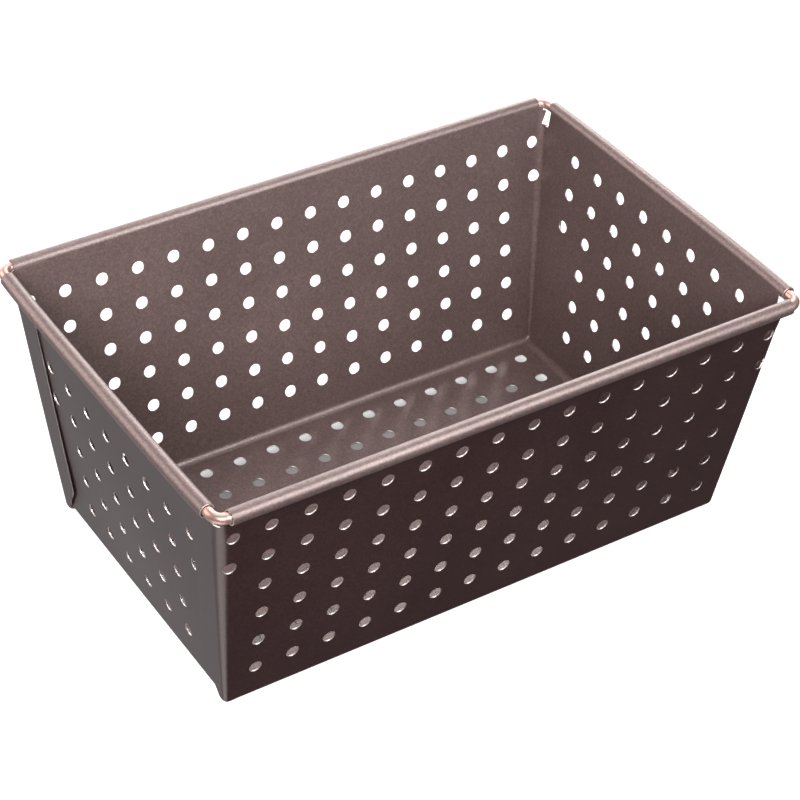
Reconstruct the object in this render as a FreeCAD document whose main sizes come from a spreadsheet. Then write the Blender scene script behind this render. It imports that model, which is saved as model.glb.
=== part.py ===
import FreeCAD, Part
import math
import os
import Sketcher
from FreeCAD import Placement, Rotation, Vector

# Perforated rectangular mould, open at the top: one blank of thin steel sheet, folded up along
# four lines, with the long walls wrapped round the corners into narrow laps that lie outside the
# end walls. Each top edge is rolled outward round a ring of steel wire, which shows at the corners.
#
# Frame: +X along the length, +Y to the back, +Z up. The origin is under the middle of the base.
# Every wall is drawn upright in its own frame, with the sharp inside fold line on the local X axis,
# the inner face in the local XZ plane and +Y pointing out. Its Placement leans it outward.

DRIVING_SIZES = [
    ("pitch", 12.0, "distance between hole centres, both ways"),
    ("hole_dia", 4.0, "punched hole diameter"),
    ("columns", 14, "columns of holes on the base and the long walls"),
    ("base_rows", 8, "rows of holes on the base"),
    ("wall_rows", 6, "rows of holes on every wall but the left end wall"),
    ("left_bare_rows", 1, "top rows that are left out on the left end wall"),
    ("end_columns", 6, "full columns of holes on an end wall"),
    ("short_rows", 3, "rows in the outer columns of an end wall"),
    ("corner_rows", 2, "rows in the column on each corner bend"),
    ("sheet_thick", 0.5, "sheet thickness"),
    ("base_length", 170.6, "inside length between the sharp fold lines"),
    ("base_width", 99.0, "inside width between the sharp fold lines"),
    ("flare_long", 8.6, "outward lean of the long walls, degrees"),
    ("flare_end", 6.45, "outward lean of the end walls, degrees"),
    ("first_row_long", 12.6, "from the fold line up a long wall to its first row"),
    ("first_row_end", 13.3, "from the fold line up an end wall to its first row"),
    ("fold_radius", 2.4, "inside radius of the folds round the base"),
    ("wire_dia", 3.2, "rim wire diameter"),
    ("wire_height", 83.5, "height of the wire's centre line"),
    ("wire_bend", 3.4, "bend radius of the wire's centre line at the corners"),
    ("wire_joint", 0.3, "gap of the butt joint in the ring, inside the back roll"),
    ("roll_play", 0.2, "play between the wire and the roll"),
    ("setback_long", 3.4, "from the sharp corner of the wire line to the end of a long roll"),
    ("setback_end", 5.2, "from the sharp corner of the wire line to the end of an end roll"),
    ("curl_angle", 285.0, "how far the sheet is rolled round the wire, degrees"),
    ("bend_low", 1.5, "outside radius of a corner bend at its foot"),
    ("bend_high", 3.8, "outside radius of a corner bend at its widest"),
    ("bend_top", 2.6, "outside radius of a corner bend under the wire"),
    ("widest_height", 71.0, "height where a corner bend is widest"),
    ("slot_height", 77.9, "height of the bottom of the relief slot in a corner"),
    ("slot_start", 0.55, "from the inside corner to the slot's edge on the bend"),
    ("bend_clear", 82.5, "height above which the bend stops short of the wire's own bend"),
    ("slot_width", 3.6, "from the inside corner to the slot's edge on the end wall"),
    ("edge_gap", 2.15, "from the inside corner to the free side edge of an end wall"),
    ("lap_low", 9.0, "width of a corner lap at its foot"),
    ("lap_high", 14.0, "width of a corner lap at its top"),
    ("lap_play_low", 0.7, "how far a lap stands off the end wall at its foot"),
    ("lap_play_high", 0.25, "how far a lap stands off the end wall at its top"),
    ("lap_cut_width", 6.4, "cropped corner of a lap, along the base"),
    ("lap_cut_height", 10.6, "cropped corner of a lap, up the wall"),
]

doc = FreeCAD.newDocument("perforated_mould")
sheet = doc.addObject("Spreadsheet::Sheet", "Sizes")
for row, (alias, size, meaning) in enumerate(DRIVING_SIZES, start=1):
    sheet.set(f"A{row}", meaning)
    sheet.set(f"B{row}", str(size))
    sheet.setAlias(f"B{row}", alias)
doc.recompute()


def num(expression):
    """The value that an expression over the sheet has now."""
    result = sheet.evalExpression(expression)
    return float(getattr(result, "Value", result))


def angle(alias):
    return f"(Sizes.{alias} * 1 deg)"


# Expressions shared by several sub-parts. LONG and END name a long wall and an end wall.
LONG = "long"
END = "end"
SPAN = {LONG: "Sizes.base_width", END: "Sizes.base_length"}
THICK = "Sizes.sheet_thick"
PUNCH_DEPTH = "8 * Sizes.sheet_thick"
ROLL_INNER = "(Sizes.wire_dia / 2 + Sizes.roll_play)"
ROLL_OUTER = f"({ROLL_INNER} + {THICK})"


def flare(side):
    return angle(f"flare_{side}")


def fold_reach(side):
    """From the sharp inside fold line to where the fold's curve ends, on the wall and on the base."""
    return f"(Sizes.fold_radius * tan((90 deg - {flare(side)}) / 2))"


def slope_top(side):
    """Up the wall from the fold line to the foot of the roll."""
    rise = f"(Sizes.wire_height - {THICK} + {ROLL_OUTER} * sin{flare(side)})"
    return f"({rise} / cos{flare(side)})"


def wire_line(side):
    """Distance of the wire's centre line from the middle of the mould."""
    lean = f"{slope_top(side)} * sin{flare(side)}"
    return f"({SPAN[side]} / 2 + {lean} + {ROLL_OUTER} * cos{flare(side)})"


def inner_trace(side, height):
    """Distance of a wall's inner face from the middle of the mould, at a height."""
    return f"({SPAN[side]} / 2 + ({height} - {THICK}) * tan{flare(side)})"


BASE_HALF_LENGTH = f"({SPAN[END]} / 2 - {fold_reach(END)})"
BASE_HALF_WIDTH = f"({SPAN[LONG]} / 2 - {fold_reach(LONG)})"
FOLD_TOP = f"({THICK} + {fold_reach(LONG)} * cos{flare(LONG)})"

OTHER = {LONG: END, END: LONG}
TURN = {"back": 0, "front": 180, "right_end": -90, "left_end": 90}


def wall_placement(position, side):
    """Stands a wall drawn upright on its fold line and leans it outward."""
    turn = Rotation(Vector(0, 0, 1), TURN[position])
    lean = Rotation(Vector(1, 0, 0), -num(f"Sizes.flare_{side}"))
    out = turn.multVec(Vector(0, num(f"{SPAN[side]} / 2"), 0))
    return Placement(out + Vector(0, 0, num(THICK)), turn.multiply(lean))


def new_body(label):
    body = doc.addObject("PartDesign::Body", label)
    body.Label = label
    return body


def new_sketch(body, name, role, offset=None):
    """A sketch on one of the body's own origin planes, such as XY_Plane."""
    sketch = body.newObject("Sketcher::SketchObject", name)
    plane = next(f for f in body.Origin.OriginFeatures if f.Role == role)
    sketch.AttachmentSupport = [(plane, "")]
    sketch.MapMode = "FlatFace"
    if offset is not None:
        sketch.AttachmentOffset = offset
    return sketch


def bind_point(sketch, edge, end, x_size, y_size):
    """Ties one end of an edge to its place. Sizes are expressions that may be negative."""
    for kind, size in (("DistanceX", x_size), ("DistanceY", y_size)):
        number = sketch.addConstraint(Sketcher.Constraint(kind, -1, 1, edge, end, num(size)))
        sketch.setExpression(f"Constraints[{number}]", size)


def bind_centre(sketch, edge, x_size):
    """Ties an arc's centre. Its ends are tied already, so one size settles its radius too."""
    number = sketch.addConstraint(Sketcher.Constraint("DistanceX", -1, 1, edge, 3, num(x_size)))
    sketch.setExpression(f"Constraints[{number}]", x_size)


def add_outline(sketch, points, arcs=None):
    """A closed outline. points are pairs of expressions. arcs maps the number of an edge, which
    starts at the point of that number, to its centre and to its sweep, "minor" or "major"."""
    arcs = arcs or {}
    places = [Vector(num(x), num(y), 0) for x, y in points]
    count = len(points)
    for index, start in enumerate(places):
        finish = places[(index + 1) % count]
        if index in arcs:
            centre, sweep = arcs[index]
            middle = Vector(num(centre[0]), num(centre[1]), 0)
            sketch.addGeometry(arc_about(middle, start, finish, sweep), False)
        else:
            sketch.addGeometry(Part.LineSegment(start, finish), False)
    starts = [edge_end(sketch, index, places[index]) for index in range(count)]
    for index in range(count):
        following = (index + 1) % count
        meeting = (index, 3 - starts[index], following, starts[following])
        sketch.addConstraint(Sketcher.Constraint("Coincident", *meeting))
        bind_point(sketch, following, starts[following], *points[following])
    for index, (centre, _) in arcs.items():
        bind_centre(sketch, index, centre[0])


def arc_about(middle, first, second, sweep="minor"):
    """The arc between two places about a centre. A sketch needs it counter-clockwise."""
    first_angle = math.atan2(first.y - middle.y, first.x - middle.x)
    second_angle = math.atan2(second.y - middle.y, second.x - middle.x)
    turn = (second_angle - first_angle) % (2 * math.pi)
    if (turn > math.pi) == (sweep == "minor"):
        first_angle, turn = second_angle, 2 * math.pi - turn
    circle = Part.Circle(middle, Vector(0, 0, 1), (first - middle).Length)
    return Part.ArcOfCircle(circle, first_angle, first_angle + turn)


def edge_end(sketch, index, place):
    """1 or 2, the end of an edge that lies at a place."""
    start = sketch.Geometry[index].StartPoint
    finish = sketch.Geometry[index].EndPoint
    return 1 if (start - place).Length < (finish - place).Length else 2


def add_circle(sketch, x_size, y_size, diameter):
    """A circle bound to its centre and its diameter."""
    circle = Part.Circle(Vector(num(x_size), num(y_size), 0), Vector(0, 0, 1), num(diameter) / 2)
    edge = sketch.addGeometry(circle, False)
    bind_point(sketch, edge, 3, x_size, y_size)
    number = sketch.addConstraint(Sketcher.Constraint("Diameter", edge, num(diameter)))
    sketch.setExpression(f"Constraints[{number}]", diameter)


def pad(body, name, sketch, length, both_ways=False, reverse=False):
    feature = body.newObject("PartDesign::Pad", name)
    feature.Profile = sketch
    feature.SideType = "Symmetric" if both_ways else "One side"
    feature.Reversed = reverse
    feature.Length = num(length)
    feature.setExpression("Length", length)
    return feature


def pocket(body, name, sketch, length):
    """Cuts both ways from the sketch, so that its direction cannot miss the sheet."""
    feature = body.newObject("PartDesign::Pocket", name)
    feature.Profile = sketch
    feature.SideType = "Symmetric"
    feature.Length = num(length)
    feature.setExpression("Length", length)
    return feature


def repeat_rows(body, name, feature, sketch, rows):
    """Repeats one row of holes along the sketch's vertical axis."""
    pattern = body.newObject("PartDesign::LinearPattern", name)
    pattern.Originals = [feature]
    pattern.Direction = (sketch, ["V_Axis"])
    pattern.Length = num(f"Sizes.pitch * ({rows} - 1)")
    pattern.setExpression("Length", f"Sizes.pitch * ({rows} - 1)")
    pattern.Occurrences = int(num(rows))
    pattern.setExpression("Occurrences", rows)
    body.Tip = pattern


def make_base():
    """The flat floor of the mould, out to where the folds begin."""
    body = new_body("base_panel")
    outline = new_sketch(body, "base_outline", "XY_Plane")
    x, y = BASE_HALF_LENGTH, BASE_HALF_WIDTH
    add_outline(outline, [(f"-{x}", f"-{y}"), (x, f"-{y}"), (x, y), (f"-{x}", y)])
    pad(body, "base_plate", outline, THICK)
    holes = new_sketch(body, "base_hole_row", "XY_Plane")
    for column in range(int(num("Sizes.columns"))):
        across = f"({column} - (Sizes.columns - 1) / 2) * Sizes.pitch"
        add_circle(holes, across, "-(Sizes.base_rows - 1) / 2 * Sizes.pitch", "Sizes.hole_dia")
    first = pocket(body, "base_holes", holes, PUNCH_DEPTH)
    repeat_rows(body, "base_hole_rows", first, holes, "Sizes.base_rows")
    return body


def add_panel(body, side, edge_points):
    """The flat of a wall. edge_points climb its right-hand edge; the left one mirrors them."""
    outline = new_sketch(body, "panel_outline", "XZ_Plane")
    right = list(edge_points)
    left = [(f"-{x}", y) for x, y in reversed(edge_points)]
    add_outline(outline, right + left)
    pad(body, "panel", outline, THICK, reverse=True)


def add_fold(body, side, half_width):
    """The quarter round that joins a wall to the base."""
    section = new_sketch(body, "fold_section", "YZ_Plane")
    reach = fold_reach(side)
    lean = flare(side)
    centre = ("-Sizes.fold_radius", reach)
    base_inner = (f"-{reach} * cos{lean}", f"-{reach} * sin{lean}")
    base_outer = (f"{base_inner[0]} + {THICK} * sin{lean}", f"{base_inner[1]} - {THICK} * cos{lean}")
    points = [("0", reach), base_inner, base_outer, (THICK, reach)]
    arcs = {0: (centre, "minor"), 2: (centre, "minor")}
    add_outline(section, points, arcs)
    pad(body, "fold", section, f"2 * {half_width}", both_ways=True)


def add_wall_holes(body, name, side, columns, rows, left_out="0"):
    """Rows of holes on a wall, counted down from the top row, less the top rows that are left out.
    columns are places along local X."""
    row_zero = f"(Sizes.first_row_{side} + (Sizes.wall_rows - {rows}) * Sizes.pitch)"
    holes = new_sketch(body, f"{name}_row", "XZ_Plane")
    for column in columns:
        add_circle(holes, column, row_zero, "Sizes.hole_dia")
    first = pocket(body, f"{name}_holes", holes, PUNCH_DEPTH)
    repeat_rows(body, f"{name}_rows", first, holes, f"({rows} - {left_out})")


def make_long_wall(position):
    """A long wall up to the foot of its roll, between its two corner bends."""
    body = new_body(f"{position}_wall")
    add_panel(body, LONG, [(BASE_HALF_LENGTH, fold_reach(LONG)), (BASE_HALF_LENGTH, slope_top(LONG))])
    add_fold(body, LONG, BASE_HALF_LENGTH)
    middle = "(Sizes.columns - 1) / 2"
    columns = [f"({column} - {middle}) * Sizes.pitch" for column in range(int(num("Sizes.columns")))]
    add_wall_holes(body, "long", LONG, columns, "Sizes.wall_rows")
    body.Placement = wall_placement(position, LONG)
    return body


def end_wall_edge():
    """The free side edge of an end wall, as pairs of local X and slope. It follows the corner, then
    steps in beside the relief slot and runs out under the roll."""
    slot = f"((Sizes.slot_height - {THICK}) / cos{flare(END)})"
    corner = inner_trace(LONG, "Sizes.slot_height")
    return [
        (BASE_HALF_WIDTH, fold_reach(END)),
        (f"({corner} - Sizes.edge_gap)", slot),
        (f"({corner} - Sizes.slot_width)", slot),
        (f"({corner} - Sizes.slot_width)", slope_top(END)),
    ]


def make_end_wall(position):
    """An end wall up to the foot of its roll. The outer columns of holes stop short of the laps."""
    body = new_body(f"{position}_wall")
    add_panel(body, END, end_wall_edge())
    add_fold(body, END, BASE_HALF_WIDTH)
    middle = "(Sizes.end_columns - 1) / 2"
    columns = [f"({column} - {middle}) * Sizes.pitch" for column in range(int(num("Sizes.end_columns")))]
    left_out = {"right_end": "0", "left_end": "Sizes.left_bare_rows"}[position]
    add_wall_holes(body, "full", END, columns, "Sizes.wall_rows", left_out)
    outer = "(Sizes.end_columns + 1) / 2 * Sizes.pitch"
    add_wall_holes(body, "outer", END, [f"-{outer}", outer], "Sizes.short_rows", left_out)
    body.Placement = wall_placement(position, END)
    return body


def make_roll(position, side):
    """The top edge of a wall, rolled outward round the wire."""
    body = new_body(f"{position}_rim_roll")
    section = new_sketch(body, "curl_section", "YZ_Plane")
    centre = (ROLL_OUTER, slope_top(side))
    free_end = f"(180 deg - {angle('curl_angle')})"

    def on_curl(radius):
        return (f"{centre[0]} + {radius} * cos{free_end}", f"{centre[1]} + {radius} * sin{free_end}")

    points = [("0", centre[1]), on_curl(ROLL_OUTER), on_curl(ROLL_INNER), (THICK, centre[1])]
    arcs = {0: (centre, "major"), 2: (centre, "major")}
    add_outline(section, points, arcs)
    half_length = f"({wire_line(OTHER[side])} - Sizes.setback_{side})"
    pad(body, "curl", section, f"2 * {half_length}", both_ways=True)
    body.Placement = wall_placement(position, side)
    return body


def corner_section(body, name, height, bend, lap_width, play):
    """A level cut through a corner: a strip of long wall, the bend and the lap outside the end wall."""
    offset = Placement(Vector(0, 0, num(height)), Rotation())
    sketch = new_sketch(body, name, "XY_Plane", offset)
    sketch.setExpression("AttachmentOffset.Base.z", height)
    y_in = inner_trace(LONG, height)
    y_out = f"({y_in} + {THICK} / cos{flare(LONG)})"
    x_in = f"({inner_trace(END, height)} + ({THICK} + {play}) / cos{flare(END)})"
    x_out = f"({x_in} + {THICK} / cos{flare(END)})"
    inside = f"({bend} - {THICK})"
    lap_edge = f"({y_in} - {lap_width})"
    points = [
        (BASE_HALF_LENGTH, y_in),
        (f"{x_in} - {inside}", y_in),
        (x_in, f"{y_in} - {inside}"),
        (x_in, lap_edge),
        (x_out, lap_edge),
        (x_out, f"{y_out} - {bend}"),
        (f"{x_out} - {bend}", y_out),
        (BASE_HALF_LENGTH, y_out),
    ]
    arcs = {
        1: ((f"{x_in} - {inside}", f"{y_in} - {inside}"), "minor"),
        5: ((f"{x_out} - {bend}", f"{y_out} - {bend}"), "minor"),
    }
    add_outline(sketch, points, arcs)
    return sketch


def between(low, high, height):
    """A size that grows evenly from the fold's top to the widest height, at a height."""
    share = f"(({height} - {FOLD_TOP}) / (Sizes.widest_height - {FOLD_TOP}))"
    return f"({low} + ({high} - {low}) * {share})"


def crop_lap_foot(body):
    """Crops the lower free corner of the lap."""
    sketch = new_sketch(body, "foot_crop", "YZ_Plane")
    corner = f"({inner_trace(LONG, FOLD_TOP)} - Sizes.lap_low)"
    points = [
        (f"{corner} - Sizes.lap_low", "0"),
        (f"{corner} + Sizes.lap_cut_width", "0"),
        (f"{corner} + Sizes.lap_cut_width", FOLD_TOP),
        (corner, f"{FOLD_TOP} + Sizes.lap_cut_height"),
        (f"{corner} - Sizes.lap_low", f"{FOLD_TOP} + Sizes.lap_cut_height"),
    ]
    add_outline(sketch, points)
    pocket(body, "lap_foot_crop", sketch, "2 * Sizes.base_length")


def cut_slot(body):
    """Clears the relief slot and everything of the lap above its bottom."""
    sketch = new_sketch(body, "slot_outline", "YZ_Plane")
    edge = f"({inner_trace(LONG, 'Sizes.slot_height')} - Sizes.slot_start)"
    beyond = f"({edge} - 2 * Sizes.lap_high)"
    above_wire = "(Sizes.wire_height + Sizes.wire_dia)"
    points = [
        (edge, "Sizes.slot_height"),
        (beyond, "Sizes.slot_height"),
        (beyond, above_wire),
        (edge, above_wire),
    ]
    add_outline(sketch, points)
    pocket(body, "relief_slot", sketch, "2 * Sizes.base_length")


def clear_wire(body):
    """Crops the top of the bend where the wire turns the corner."""
    sketch = new_sketch(body, "wire_clearance", "XZ_Plane")
    edge = f"({inner_trace(END, 'Sizes.slot_height')} + Sizes.sheet_thick)"
    beyond = f"({edge} + Sizes.lap_high)"
    above_wire = "(Sizes.wire_height + Sizes.wire_dia)"
    points = [
        (edge, "Sizes.bend_clear"),
        (beyond, "Sizes.bend_clear"),
        (beyond, above_wire),
        (edge, above_wire),
    ]
    add_outline(sketch, points)
    pocket(body, "wire_crop", sketch, "2 * Sizes.base_width")


def punch_bend_hole(body, number):
    """One hole of the column that falls on the corner bend, square to the curved sheet."""
    slope = num(f"Sizes.first_row_long + (Sizes.wall_rows - {number}) * Sizes.pitch")
    lean = num("Sizes.flare_long * 1 deg / 1 rad")
    height = num(THICK) + slope * num(f"cos{flare(LONG)}")
    bend = num(between("Sizes.bend_low", "Sizes.bend_high", f"{height}"))
    play = num(between("Sizes.lap_play_low", "Sizes.lap_play_high", f"{height}"))
    middle_radius = bend - num(THICK) / 2
    inside = bend - num(THICK)
    x_in = num(inner_trace(END, f"{height}")) + num(THICK) + play
    y_in = num(inner_trace(LONG, f"{height}"))
    start = Vector(x_in - inside, y_in - inside, height)
    along = num("(Sizes.columns + 1) / 2 * Sizes.pitch") - start.x
    turned = max(along / middle_radius, 0)
    level_out = Rotation(Vector(0, 0, 1), -math.degrees(turned)).multVec(Vector(0, 1, 0))
    centre = start + level_out * middle_radius
    outward = level_out - Vector(0, 0, lean)
    spin = Rotation(Vector(0, 0, 1), outward)
    sketch = new_sketch(body, f"bend_hole_{number}_outline", "XY_Plane", Placement(centre, spin))
    add_circle(sketch, "0", "0", "Sizes.hole_dia")
    pocket(body, f"bend_hole_{number}", sketch, PUNCH_DEPTH)


def make_corner(label, turn):
    """A corner bend with its lap, drawn at the back right and turned into place."""
    body = new_body(label)
    top = f"({THICK} + {slope_top(LONG)} * cos{flare(LONG)} - {THICK} * sin{flare(LONG)})"
    levels = [
        ("foot", FOLD_TOP, "Sizes.bend_low", "Sizes.lap_low", "Sizes.lap_play_low"),
        ("widest", "Sizes.widest_height", "Sizes.bend_high", "Sizes.lap_high", "Sizes.lap_play_high"),
        ("top", top, "Sizes.bend_top", "Sizes.lap_high", "Sizes.lap_play_high"),
    ]
    sections = [corner_section(body, f"{level[0]}_section", *level[1:]) for level in levels]
    bend = body.newObject("PartDesign::AdditiveLoft", "bend_and_lap")
    bend.Profile = sections[0]
    bend.Sections = sections[1:]
    bend.Ruled = True
    doc.recompute()
    crop_lap_foot(body)
    cut_slot(body)
    clear_wire(body)
    for number in range(1, int(num("Sizes.corner_rows")) + 1):
        punch_bend_hole(body, number)
    body.Placement = Placement(Vector(0, 0, 0), Rotation(Vector(0, 0, 1), turn))
    return body


def mirror_corner(label, source):
    """The same corner handed the other way."""
    mirrored = doc.addObject("Part::Mirroring", label)
    mirrored.Label = label
    mirrored.Source = source
    mirrored.Base = Vector(0, 0, 0)
    mirrored.Normal = Vector(1, 0, 0)
    return mirrored


def make_wire():
    """The rim ring: one length of wire bent at four corners, its ends met inside the back roll."""
    body = new_body("rim_wire")
    height = "Sizes.wire_height"
    level = Placement(Vector(0, 0, num(height)), Rotation())
    path = new_sketch(body, "wire_path", "XY_Plane", level)
    path.setExpression("AttachmentOffset.Base.z", height)
    x, y, bend, gap = wire_line(END), wire_line(LONG), "Sizes.wire_bend", "Sizes.wire_joint / 2"
    stops = [(gap, y)]
    for x_sign, y_sign in ((1, 1), (1, -1), (-1, -1), (-1, 1)):
        along = (f"{x_sign} * ({x} - {bend})", f"{y_sign} * {y}")
        across = (f"{x_sign} * {x}", f"{y_sign} * ({y} - {bend})")
        stops += [along, across] if x_sign == y_sign else [across, along]
    stops.append((f"-{gap}", y))
    places = [Vector(num(px), num(py), 0) for px, py in stops]
    for index in range(len(places) - 1):
        start, finish = places[index], places[index + 1]
        if index % 2 == 0:
            path.addGeometry(Part.LineSegment(start, finish), False)
            continue
        middle = Vector(min(start.x, finish.x, key=abs), min(start.y, finish.y, key=abs), 0)
        path.addGeometry(arc_about(middle, start, finish), False)
    starts = [edge_end(path, index, places[index]) for index in range(len(places) - 1)]
    for index, start_end in enumerate(starts):
        bind_point(path, index, start_end, *stops[index])
        if index > 0:
            meeting = (index - 1, 3 - starts[index - 1], index, start_end)
            path.addConstraint(Sketcher.Constraint("Coincident", *meeting))
    bind_point(path, len(starts) - 1, 3 - starts[-1], *stops[-1])
    for index in range(1, len(starts), 2):
        nearer = min(stops[index][0], stops[index + 1][0], key=lambda size: abs(num(size)))
        bind_centre(path, index, nearer)
    face = Placement(Vector(0, 0, num(gap)), Rotation())
    circle = new_sketch(body, "wire_section", "YZ_Plane", face)
    add_circle(circle, y, height, "Sizes.wire_dia")
    sweep = body.newObject("PartDesign::AdditivePipe", "wire_sweep")
    sweep.Profile = circle
    sweep.Spine = path
    return body


nodes = [make_base()]
for position in ("back", "front"):
    nodes.append(make_long_wall(position))
    nodes.append(make_roll(position, LONG))
for position in ("right_end", "left_end"):
    nodes.append(make_end_wall(position))
    nodes.append(make_roll(position, END))
for position, turn, other in (("back_right", 0, "back_left"), ("front_left", 180, "front_right")):
    corner = make_corner(f"{position}_corner_lap", turn)
    nodes.append(corner)
    nodes.append(mirror_corner(f"{other}_corner_lap", corner))
nodes.append(make_wire())
doc.recompute()

for item in doc.Objects:
    broken = [state for state in item.State if state in ("Invalid", "Error")]
    if broken:
        raise RuntimeError(f"{item.Label} failed: {item.State}")
for node in nodes:
    if node.Shape.isNull() or not node.Shape.isValid() or len(node.Shape.Solids) != 1:
        raise RuntimeError(f"{node.Label} is not one valid solid")

os.makedirs("parts", exist_ok=True)
for node in nodes:
    node.Shape.exportStep(os.path.join("parts", f"{node.Label}.step"))
    box = node.Shape.BoundBox
    print(f"{node.Label}: {node.Shape.Volume:.1f} mm3, X {box.XMin:.2f} to {box.XMax:.2f}, "
          f"Y {box.YMin:.2f} to {box.YMax:.2f}, Z {box.ZMin:.2f} to {box.ZMax:.2f}")
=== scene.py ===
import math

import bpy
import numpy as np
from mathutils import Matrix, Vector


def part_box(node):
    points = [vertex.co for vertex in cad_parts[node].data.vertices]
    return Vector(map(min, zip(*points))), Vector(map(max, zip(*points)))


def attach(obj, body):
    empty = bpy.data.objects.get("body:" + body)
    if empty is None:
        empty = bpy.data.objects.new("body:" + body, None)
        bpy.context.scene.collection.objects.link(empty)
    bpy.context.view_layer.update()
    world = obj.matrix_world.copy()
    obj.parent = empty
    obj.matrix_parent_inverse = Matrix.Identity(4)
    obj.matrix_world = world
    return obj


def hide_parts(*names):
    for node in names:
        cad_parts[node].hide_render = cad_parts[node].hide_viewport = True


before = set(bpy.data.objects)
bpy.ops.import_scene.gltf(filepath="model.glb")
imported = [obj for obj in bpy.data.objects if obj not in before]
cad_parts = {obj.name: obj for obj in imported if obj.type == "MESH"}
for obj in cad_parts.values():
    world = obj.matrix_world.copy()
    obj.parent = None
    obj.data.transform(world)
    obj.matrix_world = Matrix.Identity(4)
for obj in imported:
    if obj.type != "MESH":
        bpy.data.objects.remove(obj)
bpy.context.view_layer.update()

# Perforated steel mould with a wired rim. Every sheet panel is one closed solid of constant
# thickness: a grid over the panel, with holes set in it, is laid on the folded surface and
# given an inner face, an outer face and rounded cut edges. Lengths are in millimetres here and
# become metres when a mesh is made.

MM = 0.001


# --- sizes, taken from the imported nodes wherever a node's box gives them -----------------------

def node_box(node):
    """The lowest and highest corner of a CAD node, in millimetres."""
    low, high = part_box(node)
    return np.array(low) / MM, np.array(high) / MM


BASE_LOW, BASE_HIGH = node_box("base_panel")
SHEET = BASE_HIGH[2] - BASE_LOW[2]
SEAM_X, SEAM_Y = BASE_HIGH[0], BASE_HIGH[1]
WIRE_LOW, WIRE_HIGH = node_box("rim_wire")
WIRE_RADIUS = (WIRE_HIGH[2] - WIRE_LOW[2]) / 2
WIRE_Z = (WIRE_HIGH[2] + WIRE_LOW[2]) / 2
WIRE_X, WIRE_Y = WIRE_HIGH[0] - WIRE_RADIUS, WIRE_HIGH[1] - WIRE_RADIUS
ROLL_END_X = node_box("back_rim_roll")[1][0]
ROLL_END_Y = node_box("right_end_rim_roll")[1][1]
ROLL_OUTER = node_box("back_rim_roll")[1][2] - WIRE_Z
FOOT_Z = node_box("back_right_corner_lap")[0][2]

# Sizes that no box gives: the hole grid, the bends, the heights where a corner changes, the slot,
# the laps, and the rounding of a cut edge.
PITCH = 12.0
HOLE_RADIUS = 2.0
FOLD_RADIUS = 2.4
COLUMNS, BASE_ROWS, WALL_ROWS = 14, 8, 6
END_COLUMNS, SHORT_ROWS = 6, 3
BARE_ROWS = {"right_end": 0, "left_end": 1}
CURL = math.radians(285)
WIRE_BEND = 3.4
WIRE_HALF_GAP = 0.15
FLARE = {"long": math.radians(8.6), "end": math.radians(6.45)}
FIRST_ROW = {"long": 12.6, "end": 13.3}
WIDEST_Z, SLOT_Z, WIRE_CROP_Z = 71.0, 77.9, 82.5
BEND_LOW, BEND_HIGH, BEND_TOP = 1.5, 3.8, 2.6
EDGE_GAP, SLOT_START, SLOT_WIDTH = 2.15, 0.55, 3.6
LAP_LOW, LAP_HIGH = 9.0, 14.0
PLAY_LOW, PLAY_HIGH = 0.7, 0.25
LAP_CUT = (6.4, 10.6)
EDGE_ROUND = 0.07

# How far the thin sheet strays from its true shape. A ripple's waves have a rate and a start.
WALL_BULGE = 0.25
END_BULGE = {"right_end": 0.3, "left_end": 0.8}
RIPPLE = 0.05
RIPPLE_ALONG, RIPPLE_UP = (0.11, 1.3), (7.0, 0.4)
DRAW_IN = 0.9
DRAW_IN_REACH = 9
DRAW_IN_HALF_WIDTH = 64.0

# How finely the sheet is divided: steps across a cell of the hole grid, up a wall's fold, foot and
# top, along a rim roll and round its curl, and rings of faces between a cell's border and its hole.
PER_CELL = 8
FOLD_STEPS, FOOT_STEPS, TOP_STEPS = 12, 2, 3
FIRST_CELL = FOLD_STEPS + FOOT_STEPS
ROLL_STEPS, CURL_STEPS = 32, 48
BASE_RINGS, WALL_RINGS, BEND_RINGS = 1, 2, 4
SAME_PLACE = 1e-6


def fold_reach(side):
    """From the sharp fold line to where the fold's curve ends."""
    return FOLD_RADIUS * math.tan((math.pi / 2 - FLARE[side]) / 2)


HALF_SPAN = {"long": SEAM_Y + fold_reach("long"), "end": SEAM_X + fold_reach("end")}


def slope_top(side):
    """Up the flat from the fold line to the foot of the rim roll."""
    lean = FLARE[side]
    return (WIRE_Z - SHEET + ROLL_OUTER * math.sin(lean)) / math.cos(lean)


def inner_trace(side, height):
    """Distance of a wall's inner face from the middle of the mould, at a height."""
    return HALF_SPAN[side] + (height - SHEET) * math.tan(FLARE[side])


# --- the section through a wall: fold, flat and curl -------------------------------------------

def fold_length(side):
    return FOLD_RADIUS * (math.pi / 2 - FLARE[side])


def slope_to_run(side, slope):
    """Distance along the section of a point that lies so far up the flat from the fold line."""
    return fold_length(side) + slope - fold_reach(side)


def wall_section(side, run):
    """Distance outward and height of the inner face, at a distance along the section."""
    lean = FLARE[side]
    run = np.asarray(run, float)
    turned = np.clip(run / FOLD_RADIUS, 0, math.pi / 2 - lean)
    seam = HALF_SPAN[side] - fold_reach(side)
    out = seam + np.minimum(run, 0) + FOLD_RADIUS * np.sin(turned)
    up = SHEET + FOLD_RADIUS * (1 - np.cos(turned))
    flat_top = slope_to_run(side, slope_top(side))
    flat = np.clip(run - fold_length(side), 0, flat_top - fold_length(side))
    out = out + flat * math.sin(lean)
    up = up + flat * math.cos(lean)
    rolled = np.maximum(run - flat_top, 0) / ROLL_OUTER
    out = out + ROLL_OUTER * (math.cos(lean) - np.cos(lean + rolled))
    up = up + ROLL_OUTER * (np.sin(lean + rolled) - math.sin(lean))
    return out, up


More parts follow.
